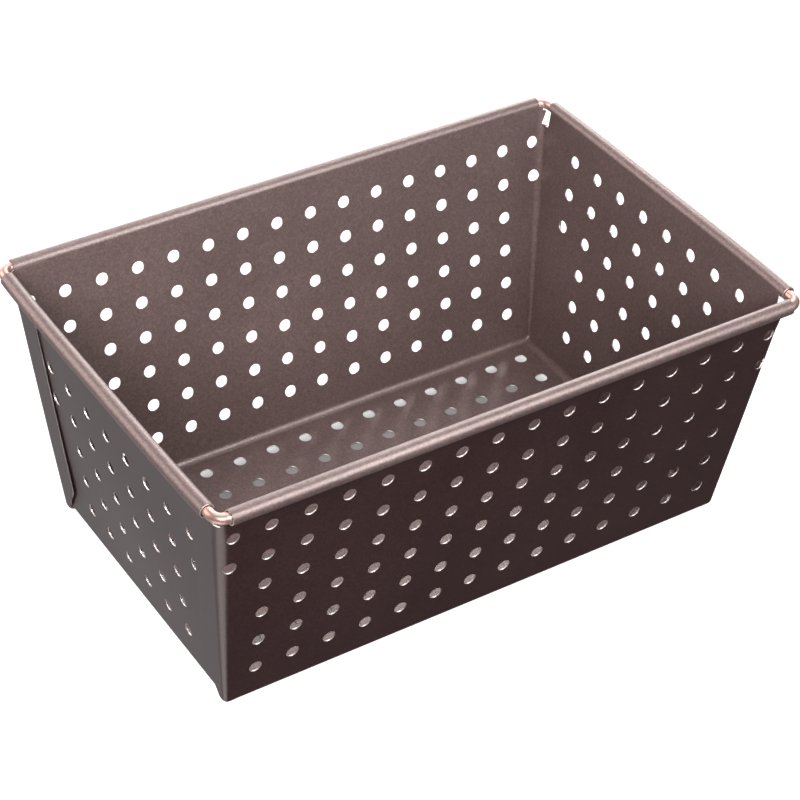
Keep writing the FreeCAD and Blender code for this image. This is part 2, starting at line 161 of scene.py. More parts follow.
def bulge(side, height, along, run):
    """How far thin sheet stands off its true plane, none at the folds and at the rim."""
    half = {"long": SEAM_X, "end": SEAM_Y}[side]
    top = slope_to_run(side, slope_top(side))
    across = np.clip(1 - (along / half) ** 2, 0, 1) ** 1.5
    share = np.clip(run / top, 0, 1)
    rise = np.sin(math.pi * share) ** 2
    wave_along = np.sin(along * RIPPLE_ALONG[0] + RIPPLE_ALONG[1])
    wave_up = np.sin(share * RIPPLE_UP[0] + RIPPLE_UP[1])
    ripple = RIPPLE * wave_along * wave_up
    return rise * across * (height + ripple)


def wall_surface(side, height=WALL_BULGE):
    """The inner face of a wall that stands at the back, its length along X. height is its bulge."""
    lean = FLARE[side]

    def surface(along, run):
        out, up = wall_section(side, run)
        stand = bulge(side, height, along, run)
        out = out + stand * math.cos(lean)
        up = up - stand * math.sin(lean)
        return np.stack([along, out, up], axis=-1)

    return surface


def base_surface(along, across):
    """The inner face of the base."""
    return np.stack([along, across, np.full_like(along, SHEET)], axis=-1)


# --- the corner: long wall, conical bend and lap, in level sections ----------------------------

def corner_sizes(height):
    """At a height: where the bend starts along X, its inside radius, where the long wall's inner face
    lies along Y, and how wide the lap is."""
    low = np.clip((height - FOOT_Z) / (WIDEST_Z - FOOT_Z), -0.1, 1)
    top_z = SHEET + slope_top("long") * math.cos(FLARE["long"]) - SHEET * math.sin(FLARE["long"])
    high = np.clip((height - WIDEST_Z) / (top_z - WIDEST_Z), 0, 1)
    bend = BEND_LOW + (BEND_HIGH - BEND_LOW) * low + (BEND_TOP - BEND_HIGH) * high
    play = PLAY_LOW + (PLAY_HIGH - PLAY_LOW) * low
    lap = LAP_LOW + (LAP_HIGH - LAP_LOW) * low
    y_in = inner_trace("long", height)
    x_in = inner_trace("end", height) + (SHEET + play) / math.cos(FLARE["end"])
    inside = bend - SHEET
    return x_in - inside, inside, y_in, lap


def corner_lengths(height):
    """Distances along a level section to the bend's start, its end and the lap's free edge."""
    start, inside, _, lap = corner_sizes(height)
    first = start - SEAM_X
    second = first + inside * math.pi / 2
    return first, second, second + lap - inside


# The cupped lower corner: how far a quarter turn runs down it, and how much of that turn is made.
FOOT_TURN = math.pi / 2 * (FOOT_Z - SHEET)
CUP_SHARE = 0.96


def corner_surface(along, level):
    """The inner face of a corner. Levels under the foot run round the cupped lower corner, down
    towards the corner of the base."""
    cup = np.clip((FOOT_Z - level) / FOOT_TURN, 0, 1) * math.pi / 2
    height = np.where(cup > 0, SHEET + (FOOT_Z - SHEET) * (1 - np.sin(cup)), level)
    start, inside, y_in, _ = corner_sizes(np.maximum(level, FOOT_Z))
    shrink = np.cos(cup)
    start = SEAM_X + (start - SEAM_X) * shrink
    inside = inside * shrink
    y_in = SEAM_Y + (y_in - SEAM_Y) * shrink
    first = start - SEAM_X
    turned = np.clip((along - first) / inside, 0, math.pi / 2)
    x = SEAM_X + np.minimum(along, first) + inside * np.sin(turned)
    past = np.maximum(along - first - inside * math.pi / 2, 0)
    y = y_in - inside * (1 - np.cos(turned)) - past
    return np.stack([x, y, height + 0 * x], axis=-1)


# --- closed sheet solids -----------------------------------------------------------------------

# The kinds of face. The first three are also the places of their materials on a piece.
INSIDE, OUTSIDE, CUT, SEAM = 0, 1, 2, 3
EDGE_BANDS = (INSIDE, INSIDE, CUT, OUTSIDE, OUTSIDE)
SHORTEST = 1e-12


def unit(vectors):
    return vectors / np.maximum(np.linalg.norm(vectors, axis=-1, keepdims=True), SHORTEST)


def on_line(axis, place):
    """A test for plane points on a line along which a panel meets its neighbour."""
    return lambda point: abs(point[axis] - place) < SAME_PLACE


def on_both_lines(axis, place):
    """The same for a line on each side of the middle."""
    return lambda point: abs(abs(point[axis]) - place) < SAME_PLACE


def rounded_edge(ring, out, away):
    """Rows of points between the bands of a cut edge, from the inner to the outer face, each with
    its normals. out is the sheet's normal and away points into the sheet."""
    bow = EDGE_ROUND * (1 - math.cos(math.pi / 4))
    return [
        (ring + bow * out + bow * away, unit(-out - away)),
        (ring + EDGE_ROUND * out, -away),
        (ring + (SHEET - EDGE_ROUND) * out, -away),
        (ring + (SHEET - bow) * out + bow * away, unit(out - away)),
    ]


def hole_circle(c_along, c_up, wide, tall):
    """Points of a hole's rim, a quarter of it to each side of a cell wide by tall steps."""
    angles = []
    for quarter, steps in enumerate((wide, tall, wide, tall)):
        angles += [math.pi / 2 * (quarter + k / steps) - 3 * math.pi / 4 for k in range(steps)]
    angles = np.array(angles)
    return np.stack([c_along + HOLE_RADIUS * np.cos(angles), c_up + HOLE_RADIUS * np.sin(angles)], axis=1)


class SheetSolid:
    """Collects points and faces of one sheet of constant thickness, in the panel's own plane. edges
    holds a test for each line along which the panel meets its neighbour."""

    def __init__(self, surface):
        self.surface = surface
        self.places = []
        self.count = 0
        self.skin = []
        self.edges = []

    def add(self, along, up):
        """Points of the panel's own plane. Returns their numbers."""
        along, up = np.ravel(along).astype(float), np.ravel(up).astype(float)
        self.places.append(np.stack([along, up], axis=1))
        numbers = np.arange(self.count, self.count + len(along))
        self.count += len(along)
        return numbers

    def lay(self):
        """Lays every point on the surface, with its outward normal."""
        plane = np.concatenate(self.places)
        step = 1e-4
        a, b = plane[:, 0], plane[:, 1]
        inner = self.surface(a, b)
        d_a = self.surface(a + step, b) - self.surface(a - step, b)
        d_b = self.surface(a, b + step) - self.surface(a, b - step)
        normal = -unit(np.cross(d_a, d_b))
        return inner, normal

    def solid(self):
        """Points, normals, faces and face kinds of the closed solid."""
        inner, normal = self.lay()
        loops = self.boundary()
        edge_in = np.zeros_like(inner)
        for loop, free in loops:
            ring = inner[loop]
            ahead = unit(np.roll(ring, -1, axis=0) - ring)
            side = np.cross(ahead, normal[loop]) * free[:, None]
            edge_in[loop] = unit(side + np.roll(side, 1, axis=0))
        shift = EDGE_ROUND * edge_in
        outer = inner + SHEET * normal
        points = [inner + shift, outer + shift]
        normals = [-normal, normal]
        total = len(inner)
        faces = list(self.skin)
        kinds = [INSIDE] * len(faces)
        faces += [tuple(x + total for x in reversed(f)) for f in faces]
        kinds += [OUTSIDE] * len(kinds)
        base = 2 * total
        for loop, free in loops:
            count = len(loop)
            rows = [np.array(loop)]
            for place, facing in rounded_edge(inner[loop], normal[loop], edge_in[loop]):
                points.append(place)
                normals.append(facing)
                rows.append(np.arange(base, base + count))
                base += count
            rows.append(np.array(loop) + total)
            for band, first, second in zip(EDGE_BANDS, rows, rows[1:]):
                for i in range(count):
                    j = (i + 1) % count
                    faces.append((second[i], second[j], first[j], first[i]))
                    kinds.append(band if free[i] else SEAM)
        return np.concatenate(points), np.concatenate(normals), faces, kinds

    def boundary(self):
        """Closed runs of edge points, and for each edge 1.0 where it is a free edge, not a seam."""
        following = {}
        for face in self.skin:
            for i, first in enumerate(face):
                following[(first, face[(i + 1) % len(face)])] = True
        border = {a: b for a, b in following if (b, a) not in following}
        seams = self.seam_test()
        loops = []
        while border:
            start, number = next(iter(border.items()))
            loop = [start]
            del border[start]
            while number != start:
                loop.append(number)
                number = border.pop(number)
            free = np.array([0.0 if seams(a, b) else 1.0 for a, b in zip(loop, loop[1:] + loop[:1])])
            loops.append((loop, free))
        return loops

    def seam_test(self):
        """Whether an edge between two points lies on one of the lines in edges."""
        plane = np.concatenate(self.places)
        lines = self.edges

        def is_seam(a, b):
            return any(test(plane[a]) and test(plane[b]) for test in lines)

        return is_seam

    def grid(self, along, up, blocks=(), keep=None):
        """A grid of faces. along and up hold each grid point's place in the plane. Each block is
        (i0, i1, j0, j1, centre, centre, rings) and takes a hole. keep drops grid faces."""
        rows, columns = along.shape
        taken = np.zeros((rows - 1, columns - 1), bool)
        inside = np.zeros((rows, columns), bool)
        for i0, i1, j0, j1, *_ in blocks:
            taken[i0:i1, j0:j1] = True
            inside[i0 + 1:i1, j0 + 1:j1] = True
        if keep is not None:
            taken |= ~keep
            used = np.zeros((rows, columns), bool)
            for di in (0, 1):
                for dj in (0, 1):
                    used[di:rows - 1 + di, dj:columns - 1 + dj] |= keep
            inside |= ~used
        numbers = np.full((rows, columns), -1)
        numbers[~inside] = self.add(along[~inside], up[~inside])
        for i in range(rows - 1):
            for j in range(columns - 1):
                if not taken[i, j]:
                    low, high = (numbers[i, j], numbers[i + 1, j]), (numbers[i + 1, j + 1], numbers[i, j + 1])
                    self.skin.append(low + high)
        for i0, i1, j0, j1, c_along, c_up, rings in blocks:
            side = ([(i, j0) for i in range(i0, i1)] + [(i1, j) for j in range(j0, j1)]
                    + [(i, j1) for i in range(i1, i0, -1)] + [(i0, j) for j in range(j1, j0, -1)])
            border = np.array([(along[s], up[s]) for s in side])
            circle = hole_circle(c_along, c_up, i1 - i0, j1 - j0)
            last = [numbers[s] for s in side]
            for ring in range(1, rings + 1):
                share = ring / rings
                place = border * (1 - share) + circle * share
                following = self.add(place[:, 0], place[:, 1])
                for k in range(len(side)):
                    m = (k + 1) % len(side)
                    self.skin.append((last[k], last[m], following[m], following[k]))
                last = following


def draw_in(points):
    """The rim and the upper corners stand a little inside the true rectangle, as on a real mould."""
    x, y, z = points.T
    corner = np.clip((abs(x) - SEAM_X) / DRAW_IN_REACH, 0, 1)
    amount = DRAW_IN * corner * corner * (3 - 2 * corner) * np.clip(z / WIRE_Z, 0, 1) ** 1.5
    return np.stack([x - np.sign(x) * amount * (abs(y) / DRAW_IN_HALF_WIDTH) ** 4, y, z], axis=1)


def make_object(name, points, normals, faces, kinds, materials, move=None):
    """A mesh object in metres, with its own normals. Seam faces lie against a neighbour's, out of
    sight, so they take the first material and are shaded flat."""
    move = np.eye(3) if move is None else move
    points = draw_in(points @ move.T)
    normals = normals @ move.T
    if np.linalg.det(move) < 0:
        faces = [f[::-1] for f in faces]
    mesh = bpy.data.meshes.new(name)
    mesh.from_pydata((points * MM).tolist(), [], [tuple(int(x) for x in f) for f in faces])
    mesh.update()
    mesh.shade_smooth()
    for material in materials:
        mesh.materials.append(material)
    slots = [k if k < len(materials) else 0 for k in kinds]
    mesh.polygons.foreach_set("material_index", np.array(slots, np.int32))
    corner_normals = np.zeros((len(mesh.loops), 3))
    corner_points = np.zeros(len(mesh.loops), np.int32)
    mesh.loops.foreach_get("vertex_index", corner_points)
    corner_normals[:] = normals[corner_points]
    for polygon, kind in zip(mesh.polygons, kinds):
        if kind == SEAM:
            span = slice(polygon.loop_start, polygon.loop_start + polygon.loop_total)
            corner_normals[span] = polygon.normal
    mesh.normals_split_custom_set(corner_normals.tolist())
    mesh.update()
    piece = bpy.data.objects.new(name, mesh)
    bpy.context.scene.collection.objects.link(piece)
    return piece


def place_piece(piece, node):
    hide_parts(node)
    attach(piece, "root")


def turned(degrees, mirror=False):
    """The turn about Z that takes a panel to its place, mirrored across the length first or not."""
    a = math.radians(degrees)
    turn = np.array([[math.cos(a), -math.sin(a), 0], [math.sin(a), math.cos(a), 0], [0, 0, 1]])
    return turn @ np.diag([-1.0, 1.0, 1.0]) if mirror else turn


# --- panels ------------------------------------------------------------------------------------

def spread(stops, counts):
    """Places that divide each stretch between stops evenly."""
    parts = [np.linspace(a, b, n, endpoint=False) for a, b, n in zip(stops, stops[1:], counts)]
    return np.concatenate(parts + [[stops[-1]]])


def lattice(count):
    """Hole centres along one direction, about the middle."""
    return [(k - (count - 1) / 2) * PITCH for k in range(count)]


def base_solid():
    """The flat floor of the mould."""
    sheet = SheetSolid(base_surface)
    columns, rows = lattice(COLUMNS), lattice(BASE_ROWS)
    x_stops = [-SEAM_X] + [x + PITCH / 2 for x in columns[:-1]] + [SEAM_X]
    y_stops = [-SEAM_Y] + [y + PITCH / 2 for y in rows[:-1]] + [SEAM_Y]
    x = spread(x_stops, [PER_CELL] * COLUMNS)
    y = spread(y_stops, [PER_CELL] * BASE_ROWS)
    along, up = np.meshgrid(x, y, indexing="ij")
    blocks = [(PER_CELL * i, PER_CELL * (i + 1), PER_CELL * j, PER_CELL * (j + 1), cx, cy, BASE_RINGS)
              for i, cx in enumerate(columns) for j, cy in enumerate(rows)]
    sheet.grid(along, up, blocks)
    sheet.edges = [on_both_lines(0, SEAM_X), on_both_lines(1, SEAM_Y)]
    return sheet


def wall_rows(side):
    """Stops and counts up a wall's section, and the run of each row of holes."""
    centres = [slope_to_run(side, FIRST_ROW[side] + PITCH * k) for k in range(WALL_ROWS)]
    top = slope_to_run(side, slope_top(side))
    first = centres[0] - PITCH / 2
    stops = [0, fold_length(side), first] + [c + PITCH / 2 for c in centres] + [top]
    counts = [FOLD_STEPS, FOOT_STEPS] + [PER_CELL] * WALL_ROWS + [TOP_STEPS]
    return spread(stops, counts), centres, top


def long_wall_solid():
    """A long wall between its two corner bends."""
    sheet = SheetSolid(wall_surface("long"))
    columns = lattice(COLUMNS)
    x = spread([-SEAM_X] + [c + PITCH / 2 for c in columns[:-1]] + [SEAM_X], [PER_CELL] * COLUMNS)
    run, centres, top = wall_rows("long")
    along, up = np.meshgrid(x, run, indexing="ij")
    blocks = []
    for i, cx in enumerate(columns):
        for j, cy in enumerate(centres):
            i0, j0 = PER_CELL * i, FIRST_CELL + PER_CELL * j
            blocks.append((i0, i0 + PER_CELL, j0, j0 + PER_CELL, cx, cy, WALL_RINGS))
    sheet.grid(along, up, blocks)
    sheet.edges = [on_both_lines(0, SEAM_X), on_line(1, 0.0), on_line(1, top)]
    return sheet


def end_wall_half(run):
    """Half the width of an end wall's flat at a distance along its section, below the slot."""
    slope = run - fold_length("end") + fold_reach("end")
    slot = (SLOT_Z - SHEET) / math.cos(FLARE["end"])
    return np.interp(slope, [fold_reach("end"), slot], [SEAM_Y, inner_trace("long", SLOT_Z) - EDGE_GAP])


# Beyond the outer columns of an end wall: steps up to its edge, the share of that width that they
# take, and the rows over which they lean towards the slot.
EDGE_STEPS = 3
EDGE_SHARE = 0.8
SLOT_ROWS = 3


def end_wall_grid(run, slot_row):
    """Places across an end wall, for every row of its grid. The cells of the outer holes are square,
    the ones below them narrow with the wall, and what is left at the edge leans towards the slot."""
    inner_half = END_COLUMNS / 2 * PITCH
    first_short = FIRST_CELL + PER_CELL * (WALL_ROWS - SHORT_ROWS)
    half = end_wall_half(run)
    narrowed = inner_half + (half - inner_half) * PITCH / (half[first_short] - inner_half)
    cell = np.where(np.arange(len(run)) >= first_short, inner_half + PITCH, narrowed)
    middle = spread([-inner_half] + [c + PITCH / 2 for c in lattice(END_COLUMNS)], [PER_CELL] * END_COLUMNS)
    at_slot = inner_trace("long", SLOT_Z) - SLOT_WIDTH
    below = run[slot_row - SLOT_ROWS]
    rows = []
    for j in range(len(run)):
        step_in = cell[j] + (half[j] - cell[j]) * EDGE_SHARE
        nearing = np.clip((run[j] - below) / (run[slot_row] - below), 0, 1)
        step_in += (at_slot - step_in) * nearing
        right = np.concatenate([np.linspace(inner_half, cell[j], PER_CELL + 1)[1:],
                                np.linspace(cell[j], step_in, EDGE_STEPS + 1)[1:], [half[j]]])
        rows.append(np.concatenate([-right[::-1], middle, right]))
    return np.array(rows).T


def end_wall_solid(height, bare_rows):
    """An end wall. Beside each top corner its edge steps in, where the relief slot is. height is its
    bulge, and bare_rows how many of the top rows have no holes."""
    sheet = SheetSolid(wall_surface("end", height))
    run, centres, top = wall_rows("end")
    slot_run = slope_to_run("end", (SLOT_Z - SHEET) / math.cos(FLARE["end"]))
    slot_row = int(np.argmin(abs(run - slot_run)))
    run[slot_row] = slot_run
    along = end_wall_grid(run, slot_row)
    up = np.repeat(run[None, :], along.shape[0], axis=0)
    keep = np.ones((along.shape[0] - 1, along.shape[1] - 1), bool)
    keep[0, slot_row:] = False
    keep[-1, slot_row:] = False
    blocks = []
    for i, cx in enumerate(lattice(END_COLUMNS + 2)):
        short = i in (0, END_COLUMNS + 1)
        lowest_row = WALL_ROWS - SHORT_ROWS if short else 0
        for j in range(lowest_row, WALL_ROWS - bare_rows):
            i0, j0 = EDGE_STEPS + 1 + PER_CELL * i, FIRST_CELL + PER_CELL * j
            blocks.append((i0, i0 + PER_CELL, j0, j0 + PER_CELL, cx, centres[j], WALL_RINGS))
    sheet.grid(along, up, blocks, keep)
    sheet.edges = [on_line(1, 0.0), on_line(1, top)]
    return sheet


def roll_solid(side):
    """The top edge of a wall, rolled outward round the wire."""
    sheet = SheetSolid(wall_surface(side))
    half = {"long": ROLL_END_X, "end": ROLL_END_Y}[side]
    start = slope_to_run(side, slope_top(side))
    run = start + np.linspace(0, CURL * ROLL_OUTER, CURL_STEPS + 1)
    x = np.linspace(-half, half, ROLL_STEPS + 1)
    along, up = np.meshgrid(x, run, indexing="ij")
    sheet.grid(along, up)
    sheet.edges = [on_line(1, start)]
    return sheet


# Columns of a corner's grid over the strip of long wall, the bend and the lap, how many of them lie
# before the relief slot, and which ones the bend's holes take.
STRIP_STEPS, BEND_STEPS, LAP_STEPS = 8, 14, 6
SLOT_COLUMN = 16
HOLE_COLUMNS = (2, 16)
# Heights over which the grid shifts sideways below the slot and below the wire, and the narrowest
# that a grid may leave of the bend beyond the slot's edge.
SLOT_SHIFT, WIRE_SHIFT = 0.3, 0.1
NARROWEST = 0.5
CROP_TOP = FOOT_Z + LAP_CUT[1]


def level_stops(level):
    """The bend's start, its end and the lap's edge along a level section. The lap is cropped at its
    foot, and all of it narrows in the cup under the foot."""
    first, second, last = (float(v) for v in corner_lengths(max(level, FOOT_Z)))
    _, inside, y_in, _ = (float(v) for v in corner_sizes(max(level, FOOT_Z)))
    if level < CROP_TOP + SAME_PLACE:
        share = max(level - FOOT_Z, 0) / LAP_CUT[1]
        crop_y = inner_trace("long", FOOT_Z) - LAP_LOW + LAP_CUT[0] * (1 - share)
        last = min(last, second + (y_in - inside) - crop_y)
    if level < FOOT_Z:
        shrink = math.cos(math.pi / 2 * (FOOT_Z - level) / FOOT_TURN)
        first, second = first * shrink, second * shrink
        last = second + (y_in - inside - SEAM_Y) * shrink
    return first, second, last


def slot_turn(level):
    """Distance round the bend to the edge of the relief slot, or of the crop beside the wire."""
    start, inside, y_in, _ = (float(v) for v in corner_sizes(max(level, FOOT_Z)))
    if level < WIRE_CROP_Z - SAME_PLACE:
        cosine = 1 - (y_in - inner_trace("long", SLOT_Z) + SLOT_START) / inside
        return inside * math.acos(min(max(cosine, 0.0), 1.0))
    sine = (inner_trace("end", SLOT_Z) + SHEET - start) / inside
    return inside * math.asin(min(max(sine, 0.0), 1.0))


def corner_solid():
    """The corner at the back right: its grid climbs in level rows from the cupped foot."""
    sheet = SheetSolid(corner_surface)
    lean = FLARE["long"]
    slopes = [FIRST_ROW["long"] + (WALL_ROWS - k) * PITCH for k in (2, 1)]
    hole_heights = [SHEET + slope * math.cos(lean) for slope in slopes]
    half_cell = PITCH / 2 * math.cos(lean)
    between_holes = (hole_heights[0] + hole_heights[1]) / 2
    top = SHEET + slope_top("long") * math.cos(lean) - SHEET * math.sin(lean)
    lowest = FOOT_Z - FOOT_TURN * CUP_SHARE
    stops = [lowest, FOOT_Z, CROP_TOP, hole_heights[0] - half_cell, between_holes, SLOT_Z - SLOT_SHIFT,
             SLOT_Z, WIRE_CROP_Z - WIRE_SHIFT, WIRE_CROP_Z, top]
    counts = [6, 6, 18, PER_CELL, PER_CELL, 1, 4, 1, 3]
    levels = spread(stops, counts)
    first_hole_row, slot_row = sum(counts[:3]), sum(counts[:6])
    beyond_slot = STRIP_STEPS + BEND_STEPS - SLOT_COLUMN
    rows = []
    for level in levels:
        first, second, last = level_stops(level)
        to_slot = first + slot_turn(level)
        bend_end = max(second, to_slot + NARROWEST)
        plain = spread([0, first, second, last], [STRIP_STEPS, BEND_STEPS, LAP_STEPS])
        cut = spread([0, to_slot, bend_end, last], [SLOT_COLUMN, beyond_slot, LAP_STEPS])
        share = np.clip((level - between_holes) / (SLOT_Z - between_holes), 0, 1)
        rows.append(plain * (1 - share) + cut * share)
    along = np.array(rows).T
    up = np.repeat(levels[None, :], along.shape[0], axis=0)
    keep = np.ones((along.shape[0] - 1, along.shape[1] - 1), bool)
    keep[SLOT_COLUMN:, slot_row:] = False
    hole_place = (COLUMNS + 1) / 2 * PITCH - SEAM_X
    blocks = []
    for number, height in enumerate(hole_heights):
        j0 = first_hole_row + PER_CELL * number
        blocks.append((*HOLE_COLUMNS, j0, j0 + PER_CELL, hole_place, height, BEND_RINGS))
    sheet.grid(along, up, blocks, keep)
    sheet.edges = [on_line(0, 0.0)]
    return sheet


# --- the rim wire ------------------------------------------------------------------------------

# Steps along half a side of the ring, round each of its bends, and round the wire itself.
WIRE_STEPS, WIRE_BEND_STEPS, WIRE_ROUND_STEPS = 24, 20, 32


def wire_path():
    """Points along the ring from one end of the wire to the other, and the way ahead at each. The
    ends meet in the middle of the back side."""
    path, ahead = [], []

    def straight(a, b, count):
        for k in range(count):
            path.append(a + (b - a) * k / count)
            ahead.append(unit(b - a))

    def bend(centre, start):
        for k in range(WIRE_BEND_STEPS):
            a = start - math.pi / 2 * k / WIRE_BEND_STEPS
            path.append(np.array([centre[0] + WIRE_BEND * math.cos(a), centre[1] + WIRE_BEND * math.sin(a)]))
            ahead.append(np.array([math.sin(a), -math.cos(a)]))

    cx, cy = WIRE_X - WIRE_BEND, WIRE_Y - WIRE_BEND
    straight(np.array([WIRE_HALF_GAP, WIRE_Y]), np.array([cx, WIRE_Y]), WIRE_STEPS)
    bend((cx, cy), math.pi / 2)
    straight(np.array([WIRE_X, cy]), np.array([WIRE_X, -cy]), WIRE_STEPS)
    bend((cx, -cy), 0.0)
    straight(np.array([cx, -WIRE_Y]), np.array([-cx, -WIRE_Y]), 2 * WIRE_STEPS)
    bend((-cx, -cy), -math.pi / 2)
    straight(np.array([-WIRE_X, -cy]), np.array([-WIRE_X, cy]), WIRE_STEPS)
    bend((-cx, cy), math.pi)
    straight(np.array([-cx, WIRE_Y]), np.array([-WIRE_HALF_GAP, WIRE_Y]), WIRE_STEPS)
    path.append(np.array([-WIRE_HALF_GAP, WIRE_Y]))
    ahead.append(np.array([1.0, 0.0]))
    return path, ahead


def wire_solid():
    """A round wire laid along the ring's path, closed with a flat face at each end."""
    path, ahead = wire_path()
    around = WIRE_ROUND_STEPS
    angle = np.linspace(0, 2 * math.pi, around, endpoint=False)
    points, normals, faces, kinds = [], [], [], []
    for place, along in zip(path, ahead):
        side = np.array([along[1], -along[0], 0.0])
        facing = np.cos(angle)[:, None] * side + np.sin(angle)[:, None] * np.array([0, 0, 1.0])
        points.append(np.array([place[0], place[1], WIRE_Z]) + WIRE_RADIUS * facing)
        normals.append(facing)
    for k in range(len(path) - 1):
        for i in range(around):
            j = (i + 1) % around
            faces.append((k * around + i, (k + 1) * around + i, (k + 1) * around + j, k * around + j))
            kinds.append(INSIDE)
    last = (len(path) - 1) * around
    faces += [tuple(range(around)), tuple(last + i for i in range(around))[::-1]]
    kinds += [SEAM, SEAM]
    return np.concatenate(points), np.concatenate(normals), faces, kinds


# --- materials ---------------------------------------------------------------------------------

def new_material(name):
    """A material with its node tree and its shader."""
    material = bpy.data.materials.new(name)
    material.use_nodes = True
    tree = material.node_tree
    shader = next(n for n in tree.nodes if n.type == "BSDF_PRINCIPLED")
    return material, tree, shader


def millimetres(tree):
    """Object coordinates in millimetres."""
    where = tree.nodes.new("ShaderNodeTexCoord")
    mapping = tree.nodes.new("ShaderNodeMapping")
    mapping.inputs["Scale"].default_value = (1 / MM, 1 / MM, 1 / MM)
    tree.links.new(where.outputs["Object"], mapping.inputs["Vector"])
    return mapping.outputs["Vector"]


def noise(tree, vector, scale, detail=3.0, roughness=0.5):
    """Fractal noise from 0 to 1, with scale waves to a millimetre."""
    node = tree.nodes.new("ShaderNodeTexNoise")
    node.inputs["Scale"].default_value = scale
    node.inputs["Detail"].default_value = detail
    node.inputs["Roughness"].default_value = roughness
    tree.links.new(vector, node.inputs["Vector"])
    return node.outputs["Fac"]


def ramp(tree, value, stops):
    """A colour that follows a value through stops, each a place and a colour."""
    node = tree.nodes.new("ShaderNodeValToRGB")
    while len(node.color_ramp.elements) < len(stops):
        node.color_ramp.elements.new(0.5)
    for element, (place, colour) in zip(node.color_ramp.elements, stops):
        element.position = place
        element.color = (*colour, 1.0)
    tree.links.new(value, node.inputs["Fac"])
    return node.outputs["Color"]


def mix(tree, factor, first, second, blend="MIX"):
    """Two colours mixed. Each input is a number, a colour or another node's output."""
    node = tree.nodes.new("ShaderNodeMix")
    node.data_type = "RGBA"
    node.blend_type = blend
    for value, socket in ((factor, node.inputs[0]), (first, node.inputs[6]), (second, node.inputs[7])):
        if isinstance(value, (int, float)):
            socket.default_value = value
        elif isinstance(value, tuple):
            socket.default_value = (*value, 1.0)
        else:
            tree.links.new(value, socket)
    return node.outputs[2]


def scaled(tree, value, low, high):
    """A value from 0 to 1 stretched to run from low to high."""
    node = tree.nodes.new("ShaderNodeMapRange")
    node.inputs["To Min"].default_value = low
    node.inputs["To Max"].default_value = high
    tree.links.new(value, node.inputs["Value"])
    return node.outputs["Result"]


def bump(tree, height, strength, distance, normal=None):
    """A normal tilted by a height, on top of another normal where one is given."""
    node = tree.nodes.new("ShaderNodeBump")
    node.inputs["Strength"].default_value = strength
    node.inputs["Distance"].default_value = distance
    tree.links.new(height, node.inputs["Height"])
    if normal is not None:
        tree.links.new(normal, node.inputs["Normal"])
    return node.outputs["Normal"]


def coat_material(name, dark, light, metallic, gloss, clear_roughness):
    """Bronze-brown metallic non-stick coating: fine flake, a little orange peel, uneven gloss. gloss
    is the least and the most roughness of the flake, under a clear coat with its own."""
    material, tree, shader = new_material(name)
    vector = millimetres(tree)
    cloud = noise(tree, vector, 0.03, 3.0)
    grain = noise(tree, vector, 1.3, 3.0, 0.75)
    flake = tree.nodes.new("ShaderNodeTexVoronoi")
    flake.inputs["Scale"].default_value = 3.2
    tree.links.new(vector, flake.inputs["Vector"])
    tone = ramp(tree, cloud, [(0.3, dark), (0.7, light)])
    dull, bright = (0.70, 0.66, 0.66), (1.52, 1.42, 1.38)
    speck = ramp(tree, grain, [(0.3, dull), (0.52, (1.0, 1.0, 1.0)), (0.75, bright)])
    colour = mix(tree, 1.0, tone, speck, "MULTIPLY")
    tree.links.new(colour, shader.inputs["Base Color"])
    shader.inputs["Metallic"].default_value = metallic
    shader.inputs["Coat Weight"].default_value = 0.26
    shader.inputs["Coat Roughness"].default_value = clear_roughness
    tree.links.new(scaled(tree, grain, gloss[0], gloss[1]), shader.inputs["Roughness"])
    peel = noise(tree, vector, 0.8, 2.0)
    peeled = bump(tree, peel, 0.25, 0.06 * MM)
    flaked = bump(tree, flake.outputs["Distance"], 0.40, 0.08 * MM, peeled)
    tree.links.new(bump(tree, grain, 0.45, 0.10 * MM, flaked), shader.inputs["Normal"])
    tree.links.new(bump(tree, grain, 0.22, 0.10 * MM, peeled), shader.inputs["Coat Normal"])
    return material


def edge_material():
    """Bare steel where a punch or a shear has cut through the coated sheet."""
    material, tree, shader = new_material("cut_steel")
    vector = millimetres(tree)
    streak = noise(tree, vector, 4.0, 2.0)
    colour = ramp(tree, streak, [(0.3, (0.62, 0.58, 0.56)), (0.7, (0.88, 0.85, 0.83))])
    tree.links.new(colour, shader.inputs["Base Color"])
    shader.inputs["Metallic"].default_value = 0.85
    tree.links.new(scaled(tree, streak, 0.34, 0.50), shader.inputs["Roughness"])
    tree.links.new(bump(tree, streak, 0.3, 0.04 * MM), shader.inputs["Normal"])
    return material


def wire_material():
    """Coppered steel wire with faint drawing lines and darker, duller patches."""
    material, tree, shader = new_material("coppered_wire")
    vector = millimetres(tree)
    patch = noise(tree, vector, 0.35, 4.0)
    line = noise(tree, vector, 3.0, 2.0)
    tone = ramp(tree, patch, [(0.3, (0.40, 0.21, 0.18)), (0.7, (0.58, 0.34, 0.29))])
    drawn = ramp(tree, line, [(0.3, (0.5, 0.36, 0.31)), (0.7, (0.95, 0.80, 0.74))])
    colour = mix(tree, 0.2, tone, drawn)
    tree.links.new(colour, shader.inputs["Base Color"])
    shader.inputs["Metallic"].default_value = 0.7
    tree.links.new(scaled(tree, patch, 0.30, 0.46), shader.inputs["Roughness"])
    tree.links.new(bump(tree, line, 0.2, 0.04 * MM), shader.inputs["Normal"])
    return material


# --- build -------------------------------------------------------------------------------------

inside = coat_material("bronze_coating_inside", dark=(0.178, 0.120, 0.114), light=(0.212, 0.146, 0.139),
                       metallic=0.35, gloss=(0.38, 0.54), clear_roughness=0.32)
# The outside coat is the same coating as the inside in far darker colours: painted shade on every outer face
# of the sheet.
shaded_outside_coat = coat_material("bronze_coating_outside_painted_shade", dark=(0.054, 0.023, 0.022), light=(0.067, 0.031, 0.030),
                        metallic=0.25, gloss=(0.30, 0.44), clear_roughness=0.21)
cut, copper = edge_material(), wire_material()


